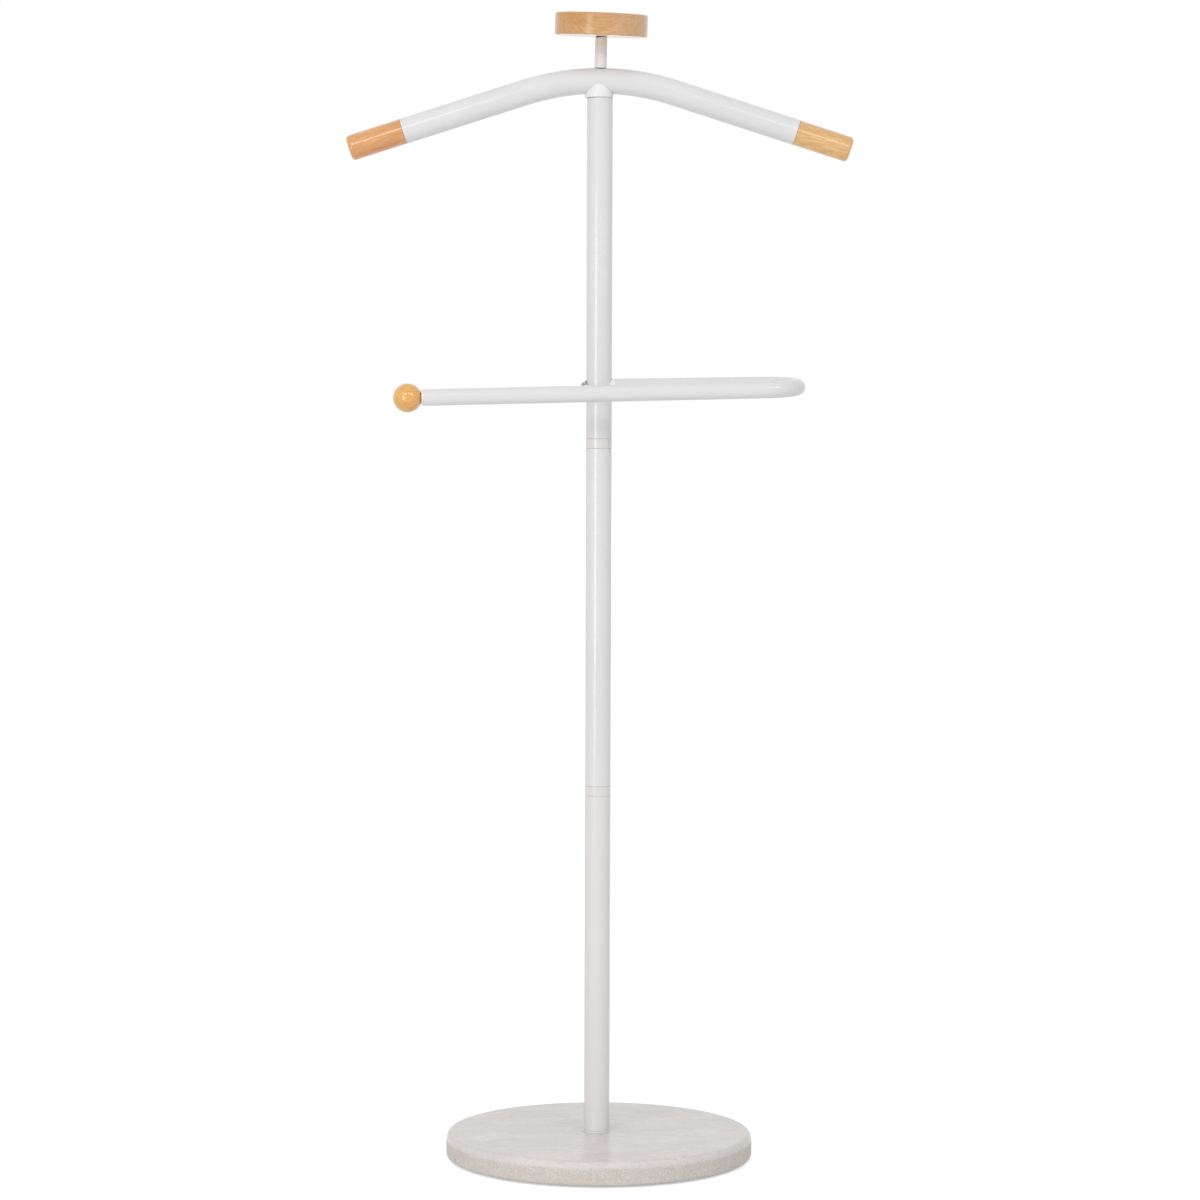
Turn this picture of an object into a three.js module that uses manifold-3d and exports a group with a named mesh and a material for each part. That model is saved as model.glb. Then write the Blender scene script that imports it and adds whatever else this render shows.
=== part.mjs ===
// A valet stand: a round marble slab, a white pole in three screwed sections, a bent shoulder
// tube with wooden end caps, a wooden disc on a short post, and a U-shaped trouser bar that
// turns stiffly on one bolt through the pole.
//
// Millimetres. +Z is up, the front of the stand faces -Y, and the origin is on the floor
// under the pole's axis.

import * as THREE from 'three';
import { mergeVertices } from 'three/addons/utils/BufferGeometryUtils.js';
import Module from 'manifold-3d';

const wasm = await Module();
wasm.setup();

// Marble slab
const slabDiameter = 300;
const slabThickness = 24;
const slabTopEdgeRadius = 4;
const slabBottomEdgeRadius = 2.5;
const slabHoleDiameter = 15;
const slabShift = 2.2;
const counterboreDiameter = 42;
const counterboreDepth = 12;

// Floor pads
const padDiameter = 24;
const padThickness = 1.5;
const padInset = 18;
const padCount = 4;

// Pole sections
const poleDiameter = 25;
const poleWall = 1.2;
const sectionLength = 330;
const tubeEndChamfer = 0.3;

// Screwed joints between the sections
const ringHeight = 9.4;
const connectorSpigotLength = 24;
const socketLength = 26;
const insertChamfer = 0.8;
const poleStudDiameter = 10;
const studInSocket = 19;
const studInConnector = 22;

// Foot of the pole
const footWasherDiameter = 26.6;
const footWasherThickness = 1.5;
const footInsertLength = 28;
const baseBoltDiameter = 10;
const baseBoltEngagement = 21;
const baseBoltHeadWidth = 17;
const baseBoltHeadHeight = 6.4;
const slabWasherDiameter = 34;
const slabWasherThickness = 2;
const lockWasherDiameter = 17.6;
const lockWasherThickness = 2.4;
const lockWasherSplit = 2;

// Shoulder tube
const shoulderDiameter = 25;
const shoulderWall = 1.2;
const shoulderBendRadius = 238;
const shoulderSlopeDeg = 17.8;
const shoulderArmLength = 124.1;

// Wooden caps on the shoulder tube
const capDiameter = 24.8;
const capLength = 55;
const capEndRadius = 3.5;
const capSpigotLength = 26;
const capSpigotChamfer = 1;

// Saddle collar between pole and shoulder tube
const collarDiameter = 27.3;
const collarBottomEdgeRadius = 0.7;
const collarTopEdgeRadius = 2.6;
const collarHeight = 14.1;
const collarSeatThickness = 4;
const collarSpigotLength = 6;

// Stud through collar and shoulder tube
const shoulderStudDiameter = 8;
const topInsertLength = 26;
const shoulderStudInInsert = 18;
const shoulderStudInPost = 12;

// Hat post and wooden disc
const hatPostDiameter = 11.6;
const hatPostLength = 29.8;
const discDiameter = 90;
const discThickness = 21.5;
const discEdgeRadius = 1.2;
const discLeanRightDeg = 1.9;
const discLeanFrontDeg = 4.2;
const discScrewDiameter = 6;
const discScrewInPost = 10;
const discScrewInDisc = 13;

// Trouser bar
const barHoleHeight = 50;
const barTubeDiameter = 16;
const barTubeWall = 1.2;
const barSpread = 64;
const barReachRight = 199.2;
const barReachLeft = 167.6;
const barRiseDeg = 1.45;
const barDroopDeg = 6;

// Bolt, spacer and washer that carry the bar
const barBoltDiameter = 6;
const barBoltHeadDiameter = 9.6;
const barBoltHeadHeight = 2.9;
// The outline of the bolt's head: shares of its radius and of its height, from the top down
const barBoltHeadShares = [[0.6, 1], [0.85, 0.8], [1, 0.35], [1, 0]];
const barBoltKeyWidth = 4;
const barBoltKeyDepth = 1.8;
const barInsertLength = 22;
const barBoltEngagement = 17;
const spacerDiameter = 16.2;
const spacerThickness = 3;
const curvedWasherDiameter = 13;
const curvedWasherThickness = 1.3;

// Ball on the open end of the bar
const ballDiameter = 28;
const ballFlatDepth = 0.5;
const ballPlugFlangeThickness = 1.2;
const ballPlugSpigotLength = 20;
const ballStudDiameter = 6;
const ballStudInPlug = 14;
const ballStudInBall = 13;

// Clearances
const insertGap = 0.1;
const threadGap = 0.1;
const boltHoleGap = 0.5;
const crossHoleGap = 0.15;
const postSeatGap = 0.1;
const turnedGap = 0.3;
const drillTip = 1.5;
const overrun = 2;
const weldTolerance = 0.0005;

// Facet counts
const slabSides = 64;
const discSides = 48;
const tubeSides = 28;
const barSides = 24;
const smallSides = 16;
const shoulderBendSteps = 12;
const barBendSteps = 12;
const edgeSteps = 3;
const domeSteps = 11;

const quarterTurn = Math.PI / 2;
const fullTurn = Math.PI * 2;
const radians = THREE.MathUtils.degToRad;

// Finishes
const whiteCoat = { color: 0xe4e3e3, roughness: 0.35, metalness: 0.0 };
const whitePlastic = { color: 0xededec, roughness: 0.45, metalness: 0.0 };
const marble = { color: 0xd8d5d2, roughness: 0.25, metalness: 0.0 };
const capWood = { color: 0xe2ad77, roughness: 0.5, metalness: 0.0 };
const discWood = { color: 0xd6a77a, roughness: 0.5, metalness: 0.0 };
const zinc = { color: 0xb9bcc0, roughness: 0.35, metalness: 0.9 };
const blackOxide = { color: 0x2c2c2e, roughness: 0.4, metalness: 0.8 };
const blackRubber = { color: 0x202020, roughness: 0.9, metalness: 0.0 };

// Heights that the pieces share
const slabBottom = padThickness;
const slabTop = slabBottom + slabThickness;
const poleBottom = slabTop + footWasherThickness;
const sectionPitch = sectionLength + ringHeight;
const sectionNames = ['lower', 'middle', 'upper'];
const jointNames = ['lower', 'upper'];
const sectionBottoms = sectionNames.map((name, i) => poleBottom + i * sectionPitch);
const upperBottom = sectionBottoms[sectionBottoms.length - 1];
const poleTop = upperBottom + sectionLength;
const shoulderAxis = poleTop + collarSeatThickness + shoulderDiameter / 2;
const shoulderCrown = shoulderAxis + shoulderDiameter / 2;
const barAxis = upperBottom + barHoleHeight;

const poleRadius = poleDiameter / 2;
const poleBore = poleRadius - poleWall;
const insertRadius = poleBore - insertGap;

// A closed mesh as a solid, with its shared corners merged and its empty triangles left out.
function solidOf(geometry) {
  const bare = geometry.clone();
  bare.deleteAttribute('normal');
  bare.deleteAttribute('uv');
  const merged = mergeVertices(bare, weldTolerance);
  const corners = merged.index.array;
  const kept = [];
  for (let i = 0; i < corners.length; i += 3) {
    const [a, b, c] = corners.slice(i, i + 3);
    if (a !== b && b !== c && c !== a) {
      kept.push(a, b, c);
    }
  }
  return new wasm.Manifold(new wasm.Mesh({
    numProp: 3,
    vertProperties: merged.attributes.position.array,
    triVerts: new Uint32Array(kept),
  }));
}

function geometryOf(solid) {
  const mesh = solid.getMesh();
  const geometry = new THREE.BufferGeometry();
  geometry.setAttribute('position', new THREE.BufferAttribute(mesh.vertProperties, 3));
  geometry.setIndex(new THREE.BufferAttribute(mesh.triVerts, 1));
  geometry.computeVertexNormals();
  return geometry;
}

function piece(name, solid, finish) {
  const mesh = new THREE.Mesh(geometryOf(solid), new THREE.MeshStandardMaterial(finish));
  mesh.name = name;
  return mesh;
}

// A profile of [radius, height] pairs turned about +Z: up the outside, down the inside.
// It starts and ends on the axis, or is closed to a ring.
function turned(profile, sides) {
  const points = profile.map(([radius, height]) => new THREE.Vector2(radius, height));
  if (profile[0][0] > 0) {
    points.push(points[0].clone());
  }
  return new THREE.LatheGeometry(points, sides).rotateX(quarterTurn);
}

function rod(radius, low, high, sides) {
  return turned([[0, low], [radius, low], [radius, high], [0, high]], sides);
}

function ring(outer, inner, low, high, sides) {
  return turned([[inner, low], [outer, low], [outer, high], [inner, high]], sides);
}

// A rod with both ends chamfered, for studs and spigots.
function chamferedRod(radius, low, high, chamfer, sides) {
  return turned([
    [0, low],
    [radius - chamfer, low],
    [radius, low + chamfer],
    [radius, high - chamfer],
    [radius - chamfer, high],
    [0, high],
  ], sides);
}

// A blind hole with its drill point: low is the mouth when high lies above it.
function blindHole(radius, mouth, end) {
  const sign = Math.sign(end - mouth);
  const profile = [
    [0, mouth - sign * overrun],
    [radius, mouth - sign * overrun],
    [radius, end],
    [0, end + sign * drillTip],
  ];
  return turned(sign > 0 ? profile : profile.reverse(), smallSides);
}

// Points on a rounded corner, from one angle to another, both included.
function cornerArc(centreRadius, centreHeight, radius, fromDeg, toDeg, steps) {
  return Array.from({ length: steps + 1 }, (unused, i) => {
    const angle = radians(fromDeg + (toDeg - fromDeg) * i / steps);
    return [centreRadius + radius * Math.cos(angle), centreHeight + radius * Math.sin(angle)];
  });
}

function circlePoints(radius, sides) {
  return Array.from({ length: sides }, (unused, i) => {
    const angle = fullTurn * i / sides;
    return new THREE.Vector2(radius * Math.cos(angle), radius * Math.sin(angle));
  });
}

// Points of a regular hexagon with the given width across its flats.
function hexagonPoints(width) {
  return circlePoints(width / Math.sqrt(3), 6);
}

function prism(outline, low, high) {
  const shape = new THREE.Shape(outline);
  const geometry = new THREE.ExtrudeGeometry(shape, { depth: high - low, bevelEnabled: false });
  return geometry.translate(0, 0, low);
}

// A round arc in the plane of two unit vectors.
class PlaneArc extends THREE.Curve {
  constructor(centre, radius, fromDeg, toDeg, across, up) {
    super();
    Object.assign(this, { centre, radius, fromDeg, toDeg, across, up });
  }

  getPoint(t, target = new THREE.Vector3()) {
    const angle = radians(this.fromDeg + (this.toDeg - this.fromDeg) * t);
    return target.copy(this.centre)
      .addScaledVector(this.across, this.radius * Math.cos(angle))
      .addScaledVector(this.up, this.radius * Math.sin(angle));
  }

  getTangent(t, target = new THREE.Vector3()) {
    const angle = radians(this.fromDeg + (this.toDeg - this.fromDeg) * t);
    return target.set(0, 0, 0)
      .addScaledVector(this.across, -Math.sin(angle))
      .addScaledVector(this.up, Math.cos(angle))
      .multiplyScalar(Math.sign(this.toDeg - this.fromDeg));
  }
}

// A path of straight and round stretches. Each stretch has its own count of steps, so that
// a straight run is one step and only a bend is divided.
class StretchPath extends THREE.Curve {
  constructor(stretches) {
    super();
    this.stretches = stretches;
    this.steps = stretches.reduce((sum, stretch) => sum + stretch.steps, 0);
  }

  locate(u) {
    let step = u * this.steps;
    for (const stretch of this.stretches.slice(0, -1)) {
      if (step < stretch.steps) {
        return [stretch.curve, step / stretch.steps];
      }
      step -= stretch.steps;
    }
    const last = this.stretches[this.stretches.length - 1];
    return [last.curve, Math.min(step / last.steps, 1)];
  }

  getPoint(u, target = new THREE.Vector3()) {
    const [curve, t] = this.locate(u);
    return curve.getPoint(t, target);
  }

  getPointAt(u, target) {
    return this.getPoint(u, target);
  }

  getTangentAt(u, target = new THREE.Vector3()) {
    const [curve, t] = this.locate(u);
    return curve.getTangent(t, target);
  }
}

// A tube, or with no bore a rod, of round section along a path.
function swept(path, radius, bore, sides) {
  const section = new THREE.Shape(circlePoints(radius, sides));
  if (bore > 0) {
    section.holes.push(new THREE.Path(circlePoints(bore, sides).reverse()));
  }
  return new THREE.ExtrudeGeometry(section, {
    steps: path.steps,
    extrudePath: path,
    bevelEnabled: false,
  });
}

// The slab, its rims rounded, with the bolt hole and the counterbore for the bolt's head. Its
// hole is wide, and within that play the slab sits slabShift to the right of the pole.
function marbleSlab() {
  const rim = slabDiameter / 2;
  const hole = slabHoleDiameter / 2;
  const bore = counterboreDiameter / 2;
  const shoulder = slabBottom + counterboreDepth;
  return turned([
    [bore, slabBottom],
    ...cornerArc(rim - slabBottomEdgeRadius, slabBottom + slabBottomEdgeRadius,
      slabBottomEdgeRadius, -90, 0, edgeSteps),
    ...cornerArc(rim - slabTopEdgeRadius, slabTop - slabTopEdgeRadius,
      slabTopEdgeRadius, 0, 90, edgeSteps),
    [hole, slabTop],
    [hole, shoulder],
    [bore, shoulder],
  ], slabSides).translate(slabShift, 0, 0);
}

// One pad under the slab, on the circle that padInset leaves inside the rim.
function floorPad(index) {
  const circle = slabDiameter / 2 - padInset - padDiameter / 2;
  const angle = fullTurn * (index + 0.5) / padCount;
  return rod(padDiameter / 2, 0, padThickness, smallSides)
    .translate(slabShift + circle * Math.cos(angle), circle * Math.sin(angle), 0);
}

// The bolt that pulls the pole onto the slab, its washers between head and counterbore.
function baseBoltPieces() {
  const seat = slabBottom + counterboreDepth;
  const lockTop = seat - slabWasherThickness;
  const headTop = lockTop - lockWasherThickness;
  const radius = baseBoltDiameter / 2;
  const head = prism(hexagonPoints(baseBoltHeadWidth), headTop - baseBoltHeadHeight, headTop);
  const shank = chamferedRod(radius, headTop - baseBoltHeadHeight / 2,
    poleBottom + baseBoltEngagement, insertChamfer, smallSides);
  const washer = ring(slabWasherDiameter / 2, radius + threadGap, lockTop, seat, tubeSides);
  const lockRing = ring(lockWasherDiameter / 2, radius + threadGap, headTop, lockTop, tubeSides);
  const split = new THREE.BoxGeometry(lockWasherDiameter, lockWasherSplit, slabThickness)
    .translate(lockWasherDiameter / 2, 0, lockTop);
  return [
    piece('base_bolt', solidOf(head).add(solidOf(shank)), zinc),
    piece('slab_washer', solidOf(washer), zinc),
    piece('lock_washer', solidOf(lockRing).subtract(solidOf(split)), zinc),
  ];
}

function footWasher() {
  return ring(footWasherDiameter / 2, baseBoltDiameter / 2 + boltHoleGap,
    slabTop, poleBottom, tubeSides);
}

// A plug pressed into a tube, with a threaded bore right through it.
function threadedPlug(low, high, radius, studDiameter) {
  return turned([
    [studDiameter / 2 + threadGap, low],
    [radius - insertChamfer, low],
    [radius, low + insertChamfer],
    [radius, high - insertChamfer],
    [radius - insertChamfer, high],
    [studDiameter / 2 + threadGap, high],
  ], smallSides);
}

// One section of the pole, its ends chamfered so that each joint shows a fine line.
function poleSection(low) {
  const high = low + sectionLength;
  return turned([
    [poleBore, low],
    [poleRadius - tubeEndChamfer, low],
    [poleRadius, low + tubeEndChamfer],
    [poleRadius, high - tubeEndChamfer],
    [poleRadius - tubeEndChamfer, high],
    [poleBore, high],
  ], tubeSides);
}

// The connector of a joint: its ring lies flush between two sections, and its spigot is
// pressed into the upper one. The stud screws into it from below.
function connector(low) {
  const high = low + ringHeight;
  const tip = high + connectorSpigotLength;
  const bore = poleStudDiameter / 2 + threadGap;
  return turned([
    [bore, low],
    [poleRadius - tubeEndChamfer, low],
    [poleRadius, low + tubeEndChamfer],
    [poleRadius, high - tubeEndChamfer],
    [poleRadius - tubeEndChamfer, high],
    [insertRadius, high],
    [insertRadius, tip - insertChamfer],
    [insertRadius - insertChamfer, tip],
    [bore, tip],
  ], tubeSides);
}

// The three sections with what joins them and what the bolts at both ends screw into.
function polePieces() {
  const pieces = sectionNames.map((name, i) => {
    let tube = solidOf(poleSection(sectionBottoms[i]));
    if (sectionBottoms[i] === upperBottom) {
      const crossHole = rod(barBoltDiameter / 2 + crossHoleGap, -poleDiameter, poleDiameter,
        smallSides);
      tube = tube.subtract(solidOf(crossHole.rotateY(quarterTurn).translate(0, 0, barAxis)));
    }
    return piece(`${name}_pole_tube`, tube, whiteCoat);
  });
  pieces.push(piece('foot_insert', solidOf(threadedPlug(poleBottom,
    poleBottom + footInsertLength, insertRadius, baseBoltDiameter)), zinc));
  jointNames.forEach((name, i) => {
    const joint = sectionBottoms[i] + sectionLength;
    const socket = threadedPlug(joint - socketLength, joint, insertRadius, poleStudDiameter);
    const stud = chamferedRod(poleStudDiameter / 2, joint - studInSocket,
      joint + studInConnector, insertChamfer, smallSides);
    pieces.push(
      piece(`${name}_joint_socket`, solidOf(socket), zinc),
      piece(`${name}_joint_stud`, solidOf(stud), zinc),
      piece(`${name}_joint_connector`, solidOf(connector(joint)), whiteCoat),
    );
  });
  const plugTop = poleTop - collarSpigotLength - turnedGap;
  pieces.push(piece('top_insert', solidOf(threadedPlug(plugTop - topInsertLength, plugTop,
    insertRadius, shoulderStudDiameter)), zinc));
  return pieces;
}

// Centre line of the shoulder tube, left to right: a straight arm, the bend, a straight arm.
function shoulderPath() {
  const across = new THREE.Vector3(1, 0, 0);
  const up = new THREE.Vector3(0, 0, 1);
  const centre = new THREE.Vector3(0, 0, shoulderAxis - shoulderBendRadius);
  const bend = new PlaneArc(centre, shoulderBendRadius, 90 + shoulderSlopeDeg,
    90 - shoulderSlopeDeg, across, up);
  const leftBend = bend.getPoint(0);
  const rightBend = bend.getPoint(1);
  const leftEnd = leftBend.clone().addScaledVector(bend.getTangent(0), -shoulderArmLength);
  const rightEnd = rightBend.clone().addScaledVector(bend.getTangent(1), shoulderArmLength);
  return new StretchPath([
    { curve: new THREE.LineCurve3(leftEnd, leftBend), steps: 1 },
    { curve: bend, steps: shoulderBendSteps },
    { curve: new THREE.LineCurve3(rightBend, rightEnd), steps: 1 },
  ]);
}

// The collar between pole and shoulder tube: a round block with a well rounded top edge. It is
// a little thicker than the shoulder tube, so once coped to it, it laps over its front and back.
function saddleCollar() {
  const radius = collarDiameter / 2;
  const top = poleTop + collarHeight;
  const bore = shoulderStudDiameter / 2 + boltHoleGap;
  const block = turned([
    [bore, poleTop - collarSpigotLength],
    [insertRadius - insertChamfer, poleTop - collarSpigotLength],
    [insertRadius, poleTop - collarSpigotLength + insertChamfer],
    [insertRadius, poleTop],
    ...cornerArc(radius - collarBottomEdgeRadius, poleTop + collarBottomEdgeRadius,
      collarBottomEdgeRadius, -90, 0, edgeSteps),
    ...cornerArc(radius - collarTopEdgeRadius, top - collarTopEdgeRadius,
      collarTopEdgeRadius, 0, 90, edgeSteps),
    [bore, top],
  ], tubeSides);
  const cope = swept(shoulderPath(), shoulderDiameter / 2 + turnedGap, 0, tubeSides);
  return solidOf(block).subtract(solidOf(cope));
}

// A wooden cap seen from the tube: spigot below zero, body above, outer corner rounded.
function endCap() {
  const radius = capDiameter / 2;
  const spigot = shoulderDiameter / 2 - shoulderWall - turnedGap;
  return turned([
    [0, -capSpigotLength],
    [spigot - capSpigotChamfer, -capSpigotLength],
    [spigot, -capSpigotLength + capSpigotChamfer],
    [spigot, 0],
    [radius, 0],
    ...cornerArc(radius - capEndRadius, capLength - capEndRadius, capEndRadius, 0, 90,
      edgeSteps),
    [0, capLength],
  ], tubeSides);
}

// A cap on one end of the shoulder tube, its axis along the arm.
function placedCap(name, u) {
  const path = shoulderPath();
  const outward = path.getTangentAt(u).multiplyScalar(u > 0 ? 1 : -1);
  const seat = path.getPointAt(u).addScaledVector(outward, turnedGap);
  const cap = piece(name, solidOf(endCap()), capWood);
  cap.position.copy(seat);
  cap.quaternion.setFromUnitVectors(new THREE.Vector3(0, 0, 1), outward);
  return cap;
}

function shoulderPieces() {
  const studRadius = shoulderStudDiameter / 2;
  const tube = solidOf(swept(shoulderPath(), shoulderDiameter / 2,
    shoulderDiameter / 2 - shoulderWall, tubeSides));
  const studHole = rod(studRadius + boltHoleGap, poleTop, shoulderCrown + overrun, smallSides);
  const studLow = poleTop - collarSpigotLength - turnedGap - shoulderStudInInsert;
  const stud = chamferedRod(studRadius, studLow, shoulderCrown + shoulderStudInPost,
    insertChamfer, smallSides);
  return [
    piece('saddle_collar', saddleCollar(), whitePlastic),
    piece('shoulder_tube', tube.subtract(solidOf(studHole)), whiteCoat),
    piece('shoulder_stud', solidOf(stud), zinc),
    placedCap('left_end_cap', 0),
    placedCap('right_end_cap', 1),
  ];
}

// The post, tapped at both ends: the shoulder stud screws in from below and the disc's
// screw from above.
function hatPost(low) {
  const high = low + hatPostLength;
  const post = solidOf(rod(hatPostDiameter / 2, low, high, barSides));
  const lowerHole = blindHole(shoulderStudDiameter / 2 + threadGap, low,
    low + shoulderStudInPost);
  const upperHole = blindHole(discScrewDiameter / 2 + threadGap, high, high - discScrewInPost);
  return post.subtract(solidOf(lowerHole)).subtract(solidOf(upperHole));
}

// The disc leans on its post, because its screw hole is drilled a little out of square.
function leaningDisc(postTop) {
  const radius = discDiameter / 2;
  const disc = turned([
    [0, 0],
    ...cornerArc(radius - discEdgeRadius, discEdgeRadius, discEdgeRadius, -90, 0, edgeSteps),
    ...cornerArc(radius - discEdgeRadius, discThickness - discEdgeRadius, discEdgeRadius,
      0, 90, edgeSteps),
    [0, discThickness],
  ], discSides);
  const turn = new THREE.Quaternion().setFromEuler(
    new THREE.Euler(radians(discLeanFrontDeg), radians(discLeanRightDeg), 0));
  const normal = new THREE.Vector3(0, 0, 1).applyQuaternion(turn);
  const lift = hatPostDiameter / 2 * Math.tan(normal.angleTo(new THREE.Vector3(0, 0, 1)));
  const screwHole = blindHole(discScrewDiameter / 2 + turnedGap, 0, discScrewInDisc)
    .applyQuaternion(turn.clone().invert());
  const mesh = piece('hat_disc', solidOf(disc).subtract(solidOf(screwHole)), discWood);
  mesh.position.set(0, 0, postTop + lift + turnedGap);
  mesh.quaternion.copy(turn);
  return mesh;
}

function hatPieces() {
  const low = shoulderCrown + postSeatGap;
  const high = low + hatPostLength;
  const screw = chamferedRod(discScrewDiameter / 2, high - discScrewInPost,
    high + discScrewInDisc, insertChamfer, smallSides);
  return [
    piece('hat_post', hatPost(low), whiteCoat),
    piece('disc_screw', solidOf(screw), zinc),
    leaningDisc(high),
  ];
}

// A round spacer on the side of the pole, its inner face hollowed to the pole's curve.
// side is 1 on the right of the pole and -1 on the left.
function poleSaddle(diameter, thickness, side) {
  const outerFace = poleRadius + turnedGap + thickness;
  const body = ring(diameter / 2, barBoltDiameter / 2 + crossHoleGap, 0, outerFace, barSides)
    .rotateY(side * quarterTurn).translate(0, 0, barAxis);
  const pole = rod(poleRadius + turnedGap, barAxis - diameter, barAxis + diameter, tubeSides);
  return solidOf(body).subtract(solidOf(pole));
}

// Centre line of the trouser bar in its own plane: out along the back arm, round the bend,
// and back along the front arm past the pole.
function barPath(start) {
  const bendRadius = barSpread / 2;
  const bendX = barReachRight - bendRadius - barTubeDiameter / 2;
  const centre = new THREE.Vector3(bendX, -bendRadius, 0);
  const bend = new PlaneArc(centre, bendRadius, 90, -90, new THREE.Vector3(1, 0, 0),
    new THREE.Vector3(0, 1, 0));
  return new StretchPath([
    { curve: new THREE.LineCurve3(new THREE.Vector3(start, 0, 0), bend.getPoint(0)), steps: 1 },
    { curve: bend, steps: barBendSteps },
    {
      curve: new THREE.LineCurve3(bend.getPoint(1),
        new THREE.Vector3(-barReachLeft, -barSpread, 0)),
      steps: 1,
    },
  ]);
}

// The bolt lies along the turning axis: head at the left of the pole, thread in the insert.
function barBolt(headSeat, tip) {
  const radius = barBoltDiameter / 2;
  const headRadius = barBoltHeadDiameter / 2;
  const bolt = turned([
    [0, headSeat - barBoltHeadHeight],
    ...barBoltHeadShares.map(([out, up]) => [
      headRadius * out,
      headSeat - barBoltHeadHeight * up,
    ]),
    [radius, headSeat],
    [radius, tip - insertChamfer],
    [radius - insertChamfer, tip],
    [0, tip],
  ], barSides);
  const key = prism(hexagonPoints(barBoltKeyWidth), headSeat - barBoltHeadHeight - overrun,
    headSeat - barBoltHeadHeight + barBoltKeyDepth);
  return solidOf(bolt.rotateY(quarterTurn)).subtract(solidOf(key.rotateY(quarterTurn)));
}

// The insert in the end of the back arm. It lies along the tube, but its thread is tapped
// along the turning axis, which the tube leaves at the small angle barRiseDeg.
function barInsert(start) {
  const radius = barTubeDiameter / 2 - barTubeWall - insertGap;
  const high = start + barInsertLength;
  const plug = chamferedRod(radius, start, high, insertChamfer, smallSides)
    .rotateY(quarterTurn);
  const thread = rod(barBoltDiameter / 2 + threadGap, 0, high + overrun, smallSides)
    .rotateY(quarterTurn + radians(barRiseDeg));
  return solidOf(plug).subtract(solidOf(thread));
}

// Plug, stud and ball on the open end, along +Z from the end of the tube.
function ballPieces() {
  const tube = barTubeDiameter / 2;
  const spigot = tube - barTubeWall - turnedGap;
  const studRadius = ballStudDiameter / 2;
  const flangeLow = turnedGap;
  const flangeHigh = flangeLow + ballPlugFlangeThickness;
  const ballFlat = flangeHigh + turnedGap;
  const ballRadius = ballDiameter / 2;
  const ballCentre = ballFlat + ballRadius - ballFlatDepth;
  const flatAngle = THREE.MathUtils.radToDeg(Math.asin(1 - ballFlatDepth / ballRadius));
  const plug = turned([
    [studRadius + turnedGap, -ballPlugSpigotLength],
    [spigot - insertChamfer, -ballPlugSpigotLength],
    [spigot, -ballPlugSpigotLength + insertChamfer],
    [spigot, flangeLow],
    [tube, flangeLow],
    [tube, flangeHigh],
    [studRadius + turnedGap, flangeHigh],
  ], barSides);
  const stud = chamferedRod(studRadius, flangeHigh - ballStudInPlug,
    ballFlat + ballStudInBall, insertChamfer, smallSides);
  const ball = turned([
    [0, ballFlat],
    ...cornerArc(0, ballCentre, ballRadius, -flatAngle, 90, domeSteps).slice(0, -1),
    [0, ballCentre + ballRadius],
  ], tubeSides);
  const studHole = blindHole(studRadius + turnedGap, ballFlat, ballFlat + ballStudInBall);
  return [
    piece('ball_plug', solidOf(plug), whitePlastic),
    piece('ball_stud', solidOf(stud), zinc),
    piece('wooden_ball', solidOf(ball).subtract(solidOf(studHole)), capWood),
  ];
}

// Everything that turns on the bolt. The bar droops about the bolt, and its tube also rises
// a little to the right of it.
function trouserBar() {
  const start = poleRadius + spacerThickness + 2 * turnedGap;
  const headSeat = -(poleRadius + curvedWasherThickness + 2 * turnedGap);
  const turning = new THREE.Group();
  turning.position.set(0, 0, barAxis);
  turning.rotation.x = radians(barDroopDeg);
  turning.add(piece('bar_bolt', barBolt(headSeat, start + barBoltEngagement), blackOxide));
  const rising = new THREE.Group();
  rising.rotation.y = -radians(barRiseDeg);
  rising.add(piece('bar_insert', barInsert(start), zinc));
  rising.add(piece('bar_tube', solidOf(swept(barPath(start), barTubeDiameter / 2,
    barTubeDiameter / 2 - barTubeWall, barSides)), whiteCoat));
  const openEnd = new THREE.Group();
  openEnd.position.set(-barReachLeft, -barSpread, 0);
  openEnd.rotation.y = -quarterTurn;
  openEnd.add(...ballPieces());
  rising.add(openEnd);
  turning.add(rising);
  return turning;
}

const stand = new THREE.Group();
stand.add(piece('marble_slab', solidOf(marbleSlab()), marble));
for (let i = 0; i < padCount; i += 1) {
  stand.add(piece(`floor_pad_${i + 1}`, solidOf(floorPad(i)), blackRubber));
}
stand.add(...baseBoltPieces());
stand.add(piece('foot_washer', solidOf(footWasher()), whitePlastic));
stand.add(...polePieces());
stand.add(...shoulderPieces());
stand.add(...hatPieces());
stand.add(piece('bar_spacer', poleSaddle(spacerDiameter, spacerThickness, 1), whitePlastic));
stand.add(piece('curved_washer',
  poleSaddle(curvedWasherDiameter, curvedWasherThickness, -1), blackOxide));
stand.add(trouserBar());

export default stand;
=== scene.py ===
"""The looks of a valet stand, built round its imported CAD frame.

Sizes are in millimetres and turned into metres when a mesh is made. The frame is the CAD's:
+Z up, the front of the stand faces -Y, origin on the floor under the pole's axis. A profile
is a list of (radius, height) points that is turned about Z. A point that is still to be
rounded also has its fillet.
"""

import math

import bpy
import numpy as np
from mathutils import Euler, Matrix, Vector


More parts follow.
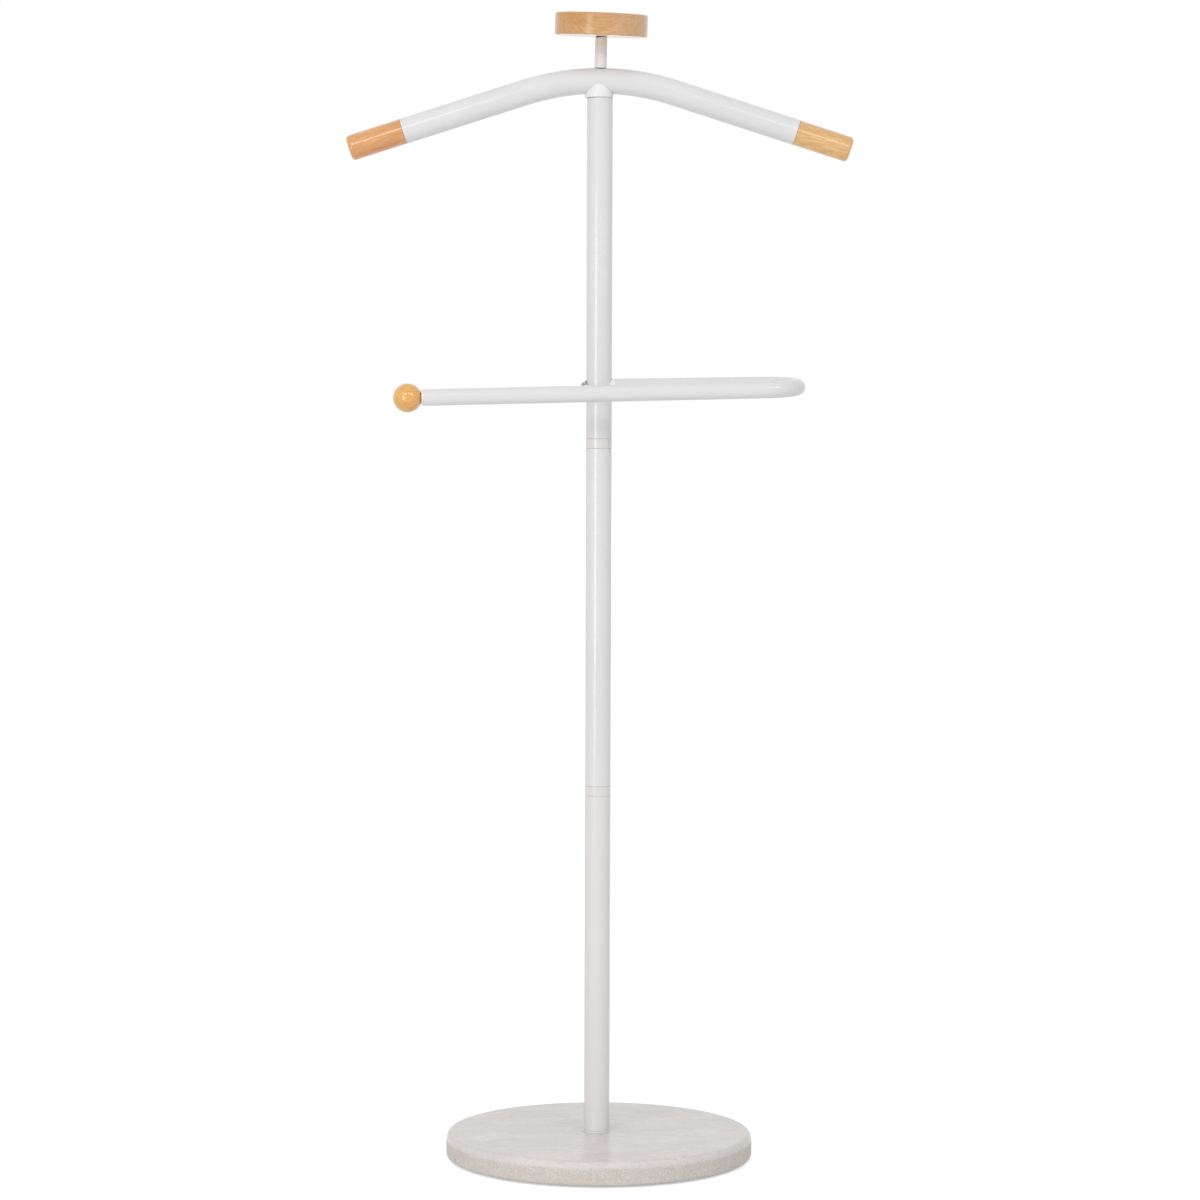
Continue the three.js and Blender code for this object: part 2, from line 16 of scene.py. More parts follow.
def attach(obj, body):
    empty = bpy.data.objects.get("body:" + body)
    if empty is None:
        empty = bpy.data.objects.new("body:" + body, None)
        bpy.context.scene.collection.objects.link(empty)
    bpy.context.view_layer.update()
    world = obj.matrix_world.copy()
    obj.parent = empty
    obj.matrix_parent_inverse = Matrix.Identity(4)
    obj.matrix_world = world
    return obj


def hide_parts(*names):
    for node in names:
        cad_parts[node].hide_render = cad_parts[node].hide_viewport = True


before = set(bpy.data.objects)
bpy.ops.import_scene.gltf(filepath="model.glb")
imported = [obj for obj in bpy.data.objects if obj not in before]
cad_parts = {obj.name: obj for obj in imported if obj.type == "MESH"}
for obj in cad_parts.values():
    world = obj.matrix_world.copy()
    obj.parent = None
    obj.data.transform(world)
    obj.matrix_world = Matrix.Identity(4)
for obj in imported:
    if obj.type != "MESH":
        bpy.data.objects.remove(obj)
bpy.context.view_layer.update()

MM = 0.001
TAU = 2 * math.pi

# Clearances
COPE_GAP = 0.08
SADDLE_GAP = 0.3
DISC_GAP = 0.1
POST_GAP = 0.16
CAP_GAP = 0.12

# Marble slab, its pads and the washer under the pole
SLAB_RADIUS = 150.0
SLAB_SHIFT = 2.2
SLAB_BOTTOM = 1.5
SLAB_TOP = 25.5
SLAB_RIM_IN = 4
SLAB_RIM_DOWN = 8
SLAB_LOWER_FILLET = 4.5
SLAB_HOLE = 7.5
COUNTERBORE_RADIUS = 21
COUNTERBORE_DEPTH = 12
PAD_RADIUS = 12
PAD_CIRCLE = 120
PAD_COUNT = 4
FOOT_BORE = 5.5
FOOT_RADIUS = 13.3
FOOT_THICKNESS = 1.5

# Pole: three sections with a connector ring between each two
POLE_RADIUS = 12.5
POLE_BORE = 11.3
POLE_BOTTOM = SLAB_TOP + FOOT_THICKNESS
SEAM = 0.45
SECTION = 330.0
RING = 9.4
PITCH = SECTION + RING
POLE_TOP = POLE_BOTTOM + 3 * SECTION + 2 * RING
CONNECTOR_BORE = 5.1
CONNECTOR_RADIUS = 11.2
CONNECTOR_LENGTH = 24

# Collar and shoulder tube
COLLAR_NECK = 4.0
COLLAR_RADIUS = 13.85
COLLAR_BORE = 4.5
COLLAR_TOP = 14
COLLAR_SPIGOT_RADIUS = 11.15
COLLAR_SPIGOT_LENGTH = 6
COLLAR_OFFSET = -0.9
COLLAR_BROW = [
    (COLLAR_SPIGOT_RADIUS, 0, 0), (COLLAR_RADIUS, 0, 0.7), (COLLAR_RADIUS, 5.2, 6),
    (12.75, 10.6, 8), (12.1, 13.2, 1.5), (9, COLLAR_TOP, 0),
]
SHOULDER_RADIUS = 12.5
SHOULDER_BORE = 11.3
SHOULDER_AXIS = POLE_TOP + COLLAR_NECK + SHOULDER_RADIUS
SHOULDER_BEND = 238.0
SHOULDER_SLOPE = math.radians(17.8)
SHOULDER_ARM = 124.1
SHOULDER_HOLE = 4.6
CROWN = SHOULDER_AXIS + SHOULDER_RADIUS
CAP_RADIUS = 12.4
CAP_LENGTH = 54.8
CAP_DOME = 0.2
CAP_SPIGOT_RADIUS = 10.9
CAP_SPIGOT_LENGTH = 26

# Post and disc
POST_RADIUS = 5.8
POST_CORE = POST_RADIUS - 0.4
POST_LEDGE = 0.05
POST_LENGTH = 29.8
POST_LEAN = math.radians(1.2)
POST_SHIFT = 0.5
POST_STUD_BORE = 4.1
POST_STUD_DEPTH = 12
POST_SCREW_BORE = 3.1
POST_SCREW_DEPTH = 10
DRILL_TIP = 0.5
DISC_RADIUS = 44.85
DISC_EDGE = 21.4
DISC_THICKNESS = 21.5
DISC_FLAT_RADIUS = 20
DISC_HOLE = 4.2
DISC_HOLE_DEPTH = 13.5
DISC_SHIFT = 0.8
DISC_LEAN_FRONT = math.radians(4.2)
DISC_LEAN_RIGHT = math.radians(1.9)

# Trouser bar and its joint
BAR_HEIGHT = 50.0
BAR_AXIS = POLE_BOTTOM + 2 * PITCH + BAR_HEIGHT
BAR_RADIUS = 8.0
BAR_BORE = 6.8
BAR_SPREAD = 64.0
BAR_START = 16.1
BAR_BEND_X = 159.2
BAR_LEFT = 167.6
BAR_DROOP = math.radians(6)
BAR_RISE = math.radians(1.45)
BAR_TWIST = math.radians(0.48)
BOLT_RADIUS = 3
BOLT_HOLE = 3.25
BOLT_LENGTH = 45.9
SADDLE_HOLE = 3.7
SPACER_RADIUS = 8.2
SPACER_THICKNESS = 3.27
SPACER_RISE = 0.35
CUP_RADIUS = 6.5
CUP_THICKNESS = 1.3
BALL_RADIUS = 14.0
BALL_CUT = 0.5
BALL_SEAT = 2.05
BALL_HOLE = 3.1
BALL_HOLE_DEPTH = 13
PLUG_BORE = 3.2
PLUG_RADIUS = 6.6
PLUG_DEPTH = 20
PLUG_FLANGE = 2.0

# Meshing: a brace is a point set close to the end of a long stretch
TOLERANCE = 0.01
SHARP_ANGLE = math.radians(32)
BRACE = 0.3
LONG_STRETCH = 1.5
CORNER_SHARE = 0.29
DRILL_REACH = 30

# How many sides a round piece has
SLAB_SIDES = 240
COLLAR_SIDES = 180
DISC_SIDES = 160
TUBE_SIDES = 96
BAR_SIDES = 72
SMALL_SIDES = 64
DRILL_SIDES = 48

# Studio, in metres
FLOOR_REACH = 30.0
FLOOR_GLOW_WIDE = (0.5, 3.0, 0.38, 0.46)
# The close glow is painted light that lightens the stand's shadow round the base.
FLOOR_GLOW_CLOSE = (0.15, 0.35, 0.14, 0.0)
BRIGHT_SIDE = (-0.25, -0.9, 0.35)
WORLD_BACK = 0.575
WORLD_FRONT = 0.915
WORLD_SIDE_FALL = 0.2
LAMP_AIM = (0, 0, 0.6)
CAMERA_PLACE = (0.0016, -3.4922, 0.7273)
CAMERA_TILT = 0.05119
CAMERA_ROLL = 0.00325
CAMERA_LENS = 107.41
CAMERA_SENSOR = 36.0
CAMERA_REACH = 100

# Each softbox: azimuth from the front, to the right plus, elevation, distance, width, height, watts
SOFTBOXES = {
    "softbox_left": (-29.5, 0.8, 2.6, 0.75, 1.1, 10.5),
    "softbox_upper_left": (-20.5, 30, 2.78, 1.1, 0.42, 6.2),
    "softbox_upper_right": (16.5, 30.5, 2.9, 0.7, 0.4, 2.9),
    "softbox_right": (38, 31.5, 2.8, 0.7, 0.38, 4.6),
}

# Turns that point a piece's own Z to the right and to the left
TO_RIGHT = Matrix.Rotation(math.pi / 2, 4, "Y")
TO_LEFT = Matrix.Rotation(-math.pi / 2, 4, "Y")


# Meshes

def lift(height):
    return Matrix.Translation((0, 0, height * MM))


def mesh_object(name, verts, faces):
    """An object in the scene from millimetre vertices."""
    mesh = bpy.data.meshes.new(name)
    mesh.from_pydata([tuple(v * MM for v in p) for p in verts], [], faces)
    made = bpy.data.objects.new(name, mesh)
    bpy.context.scene.collection.objects.link(made)
    return made


def solid(name, verts, faces, material, body, node, slot, matrix=None):
    """A piece of the stand, smooth but for its sharp edges, that rides on its body."""
    piece = mesh_object(name, verts, faces)
    piece.data.validate()
    if matrix is not None:
        piece.matrix_world = matrix
    piece.data.materials.append(material)
    dress(piece)
    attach(piece, body)
    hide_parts(node)
    return piece


def dress(piece):
    """Smooth shading that breaks where two faces meet at a sharp angle."""
    for face in piece.data.polygons:
        face.use_smooth = True
    piece.data.set_sharp_from_angle(angle=SHARP_ANGLE)


def rounded(points, steps):
    """A profile with its corners turned into arcs of their fillet."""
    out = []
    count = len(points)
    for i, (r, z, fillet) in enumerate(points):
        here = Vector((r, z))
        if fillet <= 0:
            out.append((r, z))
            continue
        before = Vector(points[i - 1][:2])
        after = Vector(points[(i + 1) % count][:2])
        a = (before - here).normalized()
        b = (after - here).normalized()
        half = a.angle(b) / 2
        reach = fillet / math.tan(half)
        centre = here + (a + b).normalized() * (fillet / math.sin(half))
        start = here + a * reach - centre
        end = here + b * reach - centre
        turn = start.angle_signed(end)
        for k in range(steps + 1):
            p = centre + Matrix.Rotation(-turn * k / steps, 2) @ start
            out.append((p.x, p.y))
    return out


def braced(profile, closed):
    """The profile with points near both ends of each long stretch, which keep its shading flat."""
    out = []
    for here, after in zip(profile, profile[1:] + (profile[:1] if closed else [])):
        out.append(here)
        length = math.dist(here, after)
        if length > LONG_STRETCH:
            for t in (BRACE / length, 1 - BRACE / length):
                out.append(tuple(h + (a - h) * t for h, a in zip(here, after)))
    return out if closed else out + profile[-1:]


def turned(profile, sides):
    """A profile turned about Z. It starts and ends on the axis, or closes to a ring."""
    on_axis = profile[0][0] < TOLERANCE
    profile = braced(profile, not on_axis)
    rows = profile[1:-1] if on_axis else profile
    verts = []
    for r, z in rows:
        for k in range(sides):
            a = TAU * k / sides
            verts.append((r * math.cos(a), r * math.sin(a), z))
    faces = []
    spans = len(rows) - 1 if on_axis else len(rows)
    for i in range(spans):
        a, b = i * sides, ((i + 1) % len(rows)) * sides
        for k in range(sides):
            n = (k + 1) % sides
            faces.append((a + k, a + n, b + n, b + k))
    if on_axis:
        low, high = len(verts), len(verts) + 1
        verts += [(0, 0, profile[0][1]), (0, 0, profile[-1][1])]
        last = (len(rows) - 1) * sides
        for k in range(sides):
            n = (k + 1) % sides
            faces.append((low, n, k))
            faces.append((high, last + k, last + n))
    return verts, faces


def column_faces(sides, rows):
    """The faces of a closed skin whose vertices are stored as columns round its axis."""
    faces = []
    for k in range(sides):
        n = (k + 1) % sides
        for j in range(rows):
            m = (j + 1) % rows
            faces.append((k * rows + j, n * rows + j, n * rows + m, k * rows + m))
    return faces


class Run:
    """A flat centre line: a straight stretch, an arc and a straight stretch."""

    def __init__(self, start, heading, first, radius, turn, last, normal):
        self.start, self.heading, self.normal = Vector(start), Vector(heading), Vector(normal)
        self.first, self.radius, self.turn = first, radius, turn
        self.arc = radius * abs(turn)
        self.length = first + self.arc + last

    def at(self, s):
        """Place and heading at the distance s along the line."""
        side = self.normal.cross(self.heading) * math.copysign(1, self.turn)
        if s <= self.first:
            return self.start + self.heading * s, self.heading
        knee = self.start + self.heading * self.first
        centre = knee + side * self.radius
        swing = min((s - self.first) / self.arc, 1) * self.turn
        spin = Matrix.Rotation(swing, 3, self.normal)
        heading = spin @ self.heading
        place = centre + spin @ (knee - centre)
        return place + heading * max(0, s - self.first - self.arc), heading

    def stops(self, arc_steps, straight_steps):
        """Distances at which rings are set, the ends left out."""
        a = np.linspace(0, self.first, straight_steps + 1)[1:]
        b = np.linspace(self.first, self.first + self.arc, arc_steps + 1)[1:]
        c = np.linspace(self.first + self.arc, self.length, straight_steps + 1)[1:-1]
        return [*a, *b, *c]


def swept(run, outer, inner, sides, arc_steps, straight_steps=6, edge=0.35):
    """A hollow tube along a run, its rims rounded."""
    corner = edge * CORNER_SHARE
    stops = run.stops(arc_steps, straight_steps)
    rim = [(0.0, inner), (0.0, outer - edge), (corner, outer - corner), (edge, outer),
           (edge + BRACE, outer)]
    rows = rim + [(s, outer) for s in stops]
    rows += [(run.length - s, radius) for s, radius in reversed(rim)]
    rows += [(s, inner) for s in reversed(stops)]
    verts = []
    for s, radius in rows:
        place, heading = run.at(s)
        side = run.normal.cross(heading)
        for k in range(sides):
            a = TAU * k / sides
            across, above = radius * math.cos(a), radius * math.sin(a)
            verts.append(place + side * across + run.normal * above)
    faces = []
    for i in range(len(rows)):
        a, b = i * sides, ((i + 1) % len(rows)) * sides
        for k in range(sides):
            n = (k + 1) % sides
            faces.append((a + n, a + k, b + k, b + n))
    return verts, faces


def drilled(piece, radius, matrix):
    """Cuts a round hole through a piece. The hole runs along the matrix's own Z."""
    profile = [(0, -DRILL_REACH), (radius, -DRILL_REACH), (radius, DRILL_REACH), (0, DRILL_REACH)]
    drill = mesh_object("drill", *turned(profile, DRILL_SIDES))
    drill.matrix_world = matrix
    cut = piece.modifiers.new("cut", "BOOLEAN")
    cut.object, cut.operation, cut.solver = drill, "DIFFERENCE", "EXACT"
    bpy.context.view_layer.update()
    graph = bpy.context.evaluated_depsgraph_get()
    made = bpy.data.meshes.new_from_object(piece.evaluated_get(graph))
    piece.modifiers.clear()
    piece.data = made
    bpy.data.objects.remove(drill)
    dress(piece)


# Materials

class Nodes:
    """Short ways to add nodes to a node tree."""

    def __init__(self, tree):
        self.tree = tree

    def node(self, kind, **settings):
        made = self.tree.nodes.new(kind)
        for key, value in settings.items():
            setattr(made, key, value)
        return made

    def plug(self, socket, value):
        if isinstance(value, bpy.types.NodeSocket):
            self.tree.links.new(value, socket)
        else:
            socket.default_value = value

    def coordinates(self, kind):
        return self.node("ShaderNodeTexCoord").outputs[kind]

    def parts(self, vector):
        """The X, Y and Z of a vector, by name."""
        made = self.node("ShaderNodeSeparateXYZ")
        self.plug(made.inputs[0], vector)
        return made.outputs

    def span(self, value, low, high, to_low=0.0, to_high=1.0, ease="SMOOTHSTEP"):
        """Maps a value from one span to another, held inside it."""
        made = self.node("ShaderNodeMapRange", interpolation_type=ease)
        self.plug(made.inputs["Value"], value)
        ends = (("From Min", low), ("From Max", high), ("To Min", to_low), ("To Max", to_high))
        for key, number in ends:
            made.inputs[key].default_value = number
        return made.outputs["Result"]

    def math(self, operation, a, b=0.0, c=0.0):
        made = self.node("ShaderNodeMath", operation=operation)
        for socket, value in zip(made.inputs, (a, b, c)):
            self.plug(socket, value)
        return made.outputs["Value"]

    def seen_directly(self):
        """1 for camera, glossy and transmission rays, 0 for the rays that light the stand."""
        path = self.node("ShaderNodeLightPath")
        total = path.outputs["Is Camera Ray"]
        for name in ("Is Glossy Ray", "Is Transmission Ray"):
            total = self.math("MAXIMUM", total, path.outputs[name])
        return total


class Surface(Nodes):
    """A node material with one Principled shader."""

    def __init__(self, name, **values):
        self.material = bpy.data.materials.new(name)
        self.material.use_nodes = True
        super().__init__(self.material.node_tree)
        self.shader = self.tree.nodes["Principled BSDF"]
        for key, value in values.items():
            self.shader.inputs[key.replace("_", " ")].default_value = value
        self.place = self.coordinates("Object")

    def stretch(self, scale, turn=(0, 0, 0), shift=(0, 0, 0)):
        """Object coordinates scaled by repeats per millimetre along each axis."""
        return self.mapped(self.place, [s / MM for s in scale], turn, shift)

    def mapped(self, source, scale, turn=(0, 0, 0), shift=(0, 0, 0)):
        made = self.node("ShaderNodeMapping")
        self.plug(made.inputs["Vector"], source)
        made.inputs["Location"].default_value = shift
        made.inputs["Rotation"].default_value = turn
        made.inputs["Scale"].default_value = scale
        return made.outputs["Vector"]

    def noise(self, vector, detail=3.0, rough=0.5, distortion=0.0, output="Fac"):
        made = self.node("ShaderNodeTexNoise")
        self.plug(made.inputs["Vector"], vector)
        made.inputs["Scale"].default_value = 1.0
        made.inputs["Detail"].default_value = detail
        made.inputs["Roughness"].default_value = rough
        made.inputs["Distortion"].default_value = distortion
        return made.outputs[output]

    def mix(self, factor, a, b):
        made = self.node("ShaderNodeMix", data_type="RGBA")
        self.plug(made.inputs[0], factor)
        for socket, value in ((made.inputs[6], a), (made.inputs[7], b)):
            self.plug(socket, (*value, 1.0) if isinstance(value, tuple) else value)
        return made.outputs[2]

    def bump(self, height, distance, after=None):
        made = self.node("ShaderNodeBump")
        self.plug(made.inputs["Height"], height)
        made.inputs["Distance"].default_value = distance * MM
        if after is not None:
            self.plug(made.inputs["Normal"], after)
        return made.outputs["Normal"]

    def crevice(self, reach):
        """Near 1 in the open and lower in narrow seams, where shade falls and dust settles."""
        made = self.node("ShaderNodeAmbientOcclusion", samples=8)
        made.inputs["Distance"].default_value = reach * MM
        return made.outputs["AO"]

    def finish(self, color, rough, normal):
        self.plug(self.shader.inputs["Base Color"], color)
        self.plug(self.shader.inputs["Roughness"], rough)
        self.plug(self.shader.inputs["Normal"], normal)
        return self.material


def srgb(*levels):
    """A display colour from 0 to 255 as linear light."""
    return tuple(v / 255 / 12.92 if v <= 10 else ((v / 255 + 0.055) / 1.055) ** 2.4
                 for v in levels)


def shade(color, share):
    return tuple(c * share for c in color)


def coat_material(name, color, rough=0.17, peel=0.6, dust=0.8, core_shade=None):
    """Semi-gloss powder coat: orange peel, faint clouding, painted shade and dust in the seams, dulled
    spots.

    peel is how deep the orange peel is, dust how much painted shade and dust darken the seams and
    bare the dark colour painted on the post's core as the shadow in its end gaps. The post's coat is
    neutral at its foot and has a painted yellow reflection of the disc towards its top.
    """
    s = Surface(name, Specular_IOR_Level=0.5)
    clouds = s.noise(s.stretch((0.02, 0.02, 0.012)), 2.0)
    specks = s.noise(s.stretch((1.6,) * 3), 1.0)
    base = s.mix(s.span(clouds, 0.3, 0.7), shade(color, 0.975), color)
    base = s.mix(s.span(specks, 0.70, 0.76, 0.0, 0.12), base, shade(color, 0.72))
    # Painted shade and dust: the coat darkens where the AO node finds close surfaces, in seams and
    # joints.
    seam_dust_and_shade = s.span(s.crevice(1.6), 0.4, 0.9, dust, 0.0)
    dust_and_shade_shares = (0.42, 0.39, 0.36)
    base = s.mix(seam_dust_and_shade, base, tuple(c * share for c, share in zip(color, dust_and_shade_shares)))
    # On the post: a painted yellow reflection of the disc, and the core coloured dark as painted
    # shadow where it shows in the gaps at its ends.
    if core_shade is not None:
        base = post_tint_and_reflection(s, base)
        base = s.mix(post_core(s), base, core_shade)
    smears = s.noise(s.stretch((0.06, 0.06, 0.02)), 4.0, 0.6)
    dull = s.span(smears, 0.35, 0.7, rough - 0.02, rough + 0.04)
    skin = s.bump(s.noise(s.stretch((0.45,) * 3), 2.0), 0.02 * peel)
    grain = s.bump(s.noise(s.stretch((2.2,) * 3), 1.0), 0.004 * peel, skin)
    return s.finish(base, dull, grain)


def post_tint_and_reflection(s, base):
    """The tints of the post's coat along its height: a neutral foot, and a head yellowed by a painted
    reflection of the wooden disc.
    """
    foot_start, foot_end = 1, 8
    reflection_start, reflection_end = 16, 24
    height = s.parts(s.place)["Z"]
    foot = s.span(height, foot_start * MM, foot_end * MM, 0.9, 0.0)
    # Painted reflection: towards the disc the coat turns the yellow of the wood above it.
    head = s.span(height, reflection_start * MM, reflection_end * MM, 0.0, 0.85)
    return s.mix(head, s.mix(foot, base, srgb(230, 229, 229)), srgb(230, 215, 191))


def post_core(s):
    """1 on the core of the post, which shows at both its ends and is painted dark there as shadow."""
    margin = 0.1
    parts = s.parts(s.place)
    square = s.math("MULTIPLY", parts["X"], parts["X"])
    square = s.math("ADD", square, s.math("MULTIPLY", parts["Y"], parts["Y"]))
    return s.math("LESS_THAN", square, ((POST_CORE + margin) * MM) ** 2)


def marble_top(s, clouds):
    """Polished: pale clouds, faint veins along the slab, short dashes and a painted highlight along
    the rim.
    """
    rim_highlight_start, rim_highlight_end = 22.5, 25.45
    base = s.mix(s.span(clouds, 0.3, 0.72), srgb(212, 207, 204), srgb(225, 220, 217))
    drift = s.noise(s.stretch((0.016, 0.03, 0.03), (0, 0, -0.25), (3, 1, 0)), 6.0, 0.62, 1.2)
    vein = s.math("ABSOLUTE", s.math("SUBTRACT", drift, 0.5))
    base = s.mix(s.span(vein, 0.0, 0.02, 0.24, 0.0), base, srgb(176, 172, 170))
    dashes = s.noise(s.stretch((0.07, 0.4, 0.4), (0, 0, 0.12)), 2.0)
    base = s.mix(s.span(dashes, 0.6, 0.7, 0.0, 0.4), base, srgb(182, 177, 172))
    mottles = s.noise(s.stretch((0.16, 0.4, 0.4), (0, 0, -0.2), (2, 5, 0)), 4.0, 0.7)
    base = s.mix(s.span(mottles, 0.42, 0.7, 0.0, 0.55), base, srgb(197, 193, 189))
    # Painted highlight: the rim is lightened where its rounding catches the light.
    rim = s.span(s.parts(s.place)["Z"], rim_highlight_start * MM, rim_highlight_end * MM, 0.25, 0.0)
    return s.mix(rim, base, srgb(232, 228, 225))


def marble_side(s, grains, pit):
    """Sawn and honed: grains, pale crystals, warm patches, pits and a lower edge lightened with
    painted light.
    """
    lower_light_start, lower_light_end = 1.5, 6
    side = s.mix(s.span(grains, 0.3, 0.7), srgb(193, 186, 180), srgb(225, 220, 214))
    pale = s.noise(s.stretch((0.35,) * 3, shift=(4, 0, 2)), 2.0, 0.6)
    side = s.mix(s.span(pale, 0.58, 0.74, 0.0, 0.6), side, srgb(232, 226, 220))
    warm = s.noise(s.stretch((0.07, 0.07, 0.12), shift=(1, 8, 3)), 3.0, 0.6)
    side = s.mix(s.span(warm, 0.4, 0.7, 0.0, 0.5), side, srgb(206, 196, 184))
    side = s.mix(pit, side, srgb(140, 128, 116))
    # Painted light: the lower edge is lightened against the floor's contact shadow.
    edge = s.span(s.parts(s.place)["Z"], lower_light_start * MM, lower_light_end * MM, 0.6, 0.0)
    return s.mix(edge, side, srgb(236, 231, 226))


def marble_material():
    """Pale marble, polished on top and down over its rim, rough on the rest of its side."""
    polish_start, polish_end, ragged = 15.2, 18.6, 4
    s = Surface("marble_surface", Specular_IOR_Level=0.15)
    border = s.noise(s.stretch((0.3,) * 3, shift=(7, 2, 0)), 4.0, 0.65)
    height = s.math("SUBTRACT", s.parts(s.place)["Z"], s.math("MULTIPLY", border, ragged * MM))
    top = s.span(height, polish_start * MM, polish_end * MM)
    clouds = s.noise(s.stretch((0.018, 0.028, 0.028), (0, 0, 0.3)), 5.0, 0.55, 0.6)
    grains = s.noise(s.stretch((0.75,) * 3), 3.0, 0.7)
    pits = s.noise(s.stretch((0.16, 0.16, 0.1), shift=(1.3, 2.6, 0)), 2.0, 0.55)
    pit = s.span(pits, 0.73, 0.77)
    base = s.mix(top, marble_side(s, grains, pit), marble_top(s, clouds))
    # Painted shade: the marble darkens where the AO node finds close surfaces, at the pole's foot and
    # along the floor.
    base = s.mix(s.span(s.crevice(6), 0.3, 0.95, 0.14, 0.0), base, srgb(150, 145, 140))
    rough = s.math("MULTIPLY_ADD", top, -0.37, 0.58)
    rough = s.math("ADD", rough, s.span(clouds, 0.3, 0.7, 0.0, 0.04))
    deep = s.math("SUBTRACT", grains, s.math("MULTIPLY", pit, 3.0))
    honed = s.math("MULTIPLY", deep, s.math("SUBTRACT", 1.0, s.math("MULTIPLY", top, 0.97)))
    return s.finish(base, rough, s.bump(honed, 0.16))


def wood_material(name, light, dark, pith, ring, gloss, turn=(0, 0, 0), flame=0.8, fade=None,
                  under=None, late_share=0.4, haze=0.2, seam_dust_and_shade=0.45, mirror=1.5):
    """Lacquered light wood, its fibres along the piece's own Z after the turn.

    pith is where the heart of the log lies across the fibres, ring the width of a year, flame
    how far the rings wander, fade a colour that the wood drifts to along the fibres and the
    stretch it takes, under a paler colour for the underside, late_share how dark the late wood
    is, haze the roughness of the lacquer, seam how much painted shade and dust darken its seams
    and mirror the index of its lacquer.
    """
    drift, underside_depth = 14, 0.2
    s = Surface(name, Specular_IOR_Level=0.4, Coat_Weight=gloss, Coat_Roughness=haze,
                Coat_IOR=mirror)
    local = s.stretch((1, 1, 1), turn)
    wander = s.noise(s.mapped(local, (0.05, 0.05, 0.012)), output="Color")
    push = s.node("ShaderNodeVectorMath", operation="MULTIPLY_ADD")
    s.plug(push.inputs[0], wander)
    push.inputs[1].default_value = (flame * drift,) * 3
    s.plug(push.inputs[2], local)
    parts = s.parts(push.outputs[0])
    dx = s.math("SUBTRACT", parts["X"], pith[0])
    dy = s.math("SUBTRACT", parts["Y"], pith[1])
    reach = s.math("SQRT", s.math("ADD", s.math("MULTIPLY", dx, dx), s.math("MULTIPLY", dy, dy)))
    year = s.math("FRACT", s.math("DIVIDE", reach, ring))
    late = s.math("MULTIPLY", s.span(year, 0.25, 0.9), s.span(year, 0.9, 1.0, 1.0, 0.0))
    tone = s.noise(s.mapped(local, (0.09, 0.09, 0.015)))
    base = s.mix(s.span(tone, 0.3, 0.72), dark, light)
    base = s.mix(s.math("MULTIPLY", late, late_share), base, shade(dark, 0.7))
    fibres = s.noise(s.mapped(local, (2.2, 2.2, 0.07)), 3.0, 0.6)
    base = s.mix(s.span(fibres, 0.42, 0.7, 0.0, 0.55), base, shade(dark, 0.66))
    flecks = s.noise(s.mapped(local, (1.1, 1.1, 0.22)), 1.0, 0.4)
    fleck = s.span(flecks, 0.68, 0.76)
    base = s.mix(s.math("MULTIPLY", fleck, 0.45), base, shade(dark, 0.5))
    if fade is not None:
        tint, start, end = fade
        base = s.mix(s.span(parts["Z"], start, end, 0.0, 0.55), base, tint)
    if under is not None:
        underside = s.math("LESS_THAN", s.parts(s.place)["Z"], underside_depth * MM)
        base = s.mix(underside, base, under)
    patches = s.noise(s.mapped(local, (0.35, 0.35, 0.12)), 2.0, 0.6)
    base = s.mix(s.span(patches, 0.4, 0.7, 0.0, 0.5), base, shade(dark, 0.76))
    # Painted shade and dust: the wood darkens where the AO node finds close surfaces, in its seams.
    base = s.mix(s.span(s.crevice(2), 0.3, 0.9, seam_dust_and_shade, 0.0), base, shade(dark, 0.35))
    rough = s.span(fibres, 0.3, 0.8, 0.34, 0.48)
    height = s.math("SUBTRACT", s.math("MULTIPLY", late, 0.4), s.math("ADD", fibres, fleck))
    return s.finish(base, rough, s.bump(height, 0.02))


def steel_material(name, color, rough, spots):
    """Plated or blackened steel with fine turning marks, blotches and rubbed spots."""
    s = Surface(name, Metallic=1.0)
    marks = s.noise(s.stretch((0.3, 0.3, 6.0)), 2.0)
    blotch = s.noise(s.stretch((0.35,) * 3), 4.0, 0.6)
    base = s.mix(s.span(blotch, 0.35, 0.7), shade(color, 0.75), color)
    base = s.mix(s.span(blotch, 0.62, 0.7, 0.0, 0.5), base, spots)
    worn = s.span(marks, 0.2, 0.8, rough - 0.08, rough + 0.12)
    return s.finish(base, worn, s.bump(marks, 0.01))


def rubber_material():
    """Dull black rubber with a pebbled skin and dust."""
    s = Surface("rubber_surface", Specular_IOR_Level=0.3)
    pebbles = s.noise(s.stretch((1.5,) * 3), 2.0)
    dust = s.noise(s.stretch((0.12,) * 3), 4.0, 0.6)
    base = s.mix(s.span(dust, 0.45, 0.8, 0.0, 0.5), srgb(34, 34, 34), srgb(88, 86, 84))
    return s.finish(base, s.span(dust, 0.3, 0.8, 0.75, 0.95), s.bump(pebbles, 0.05))


# In each coat, dust sets how strongly painted shade and dust darken the seams.
COAT = coat_material("white_coat_surface", srgb(225, 224, 225))
# The lower pole's coat is a warmer copy of the white coat: painted warm light reflected from the
# marble.
LOW_COAT = coat_material("lower_coat_surface", srgb(225, 222, 221), dust=0.35)
BAR_COAT = coat_material("bar_coat_surface", srgb(225, 224, 225), dust=0.25)
RING_COAT = coat_material("ring_coat_surface", srgb(224, 220, 217))
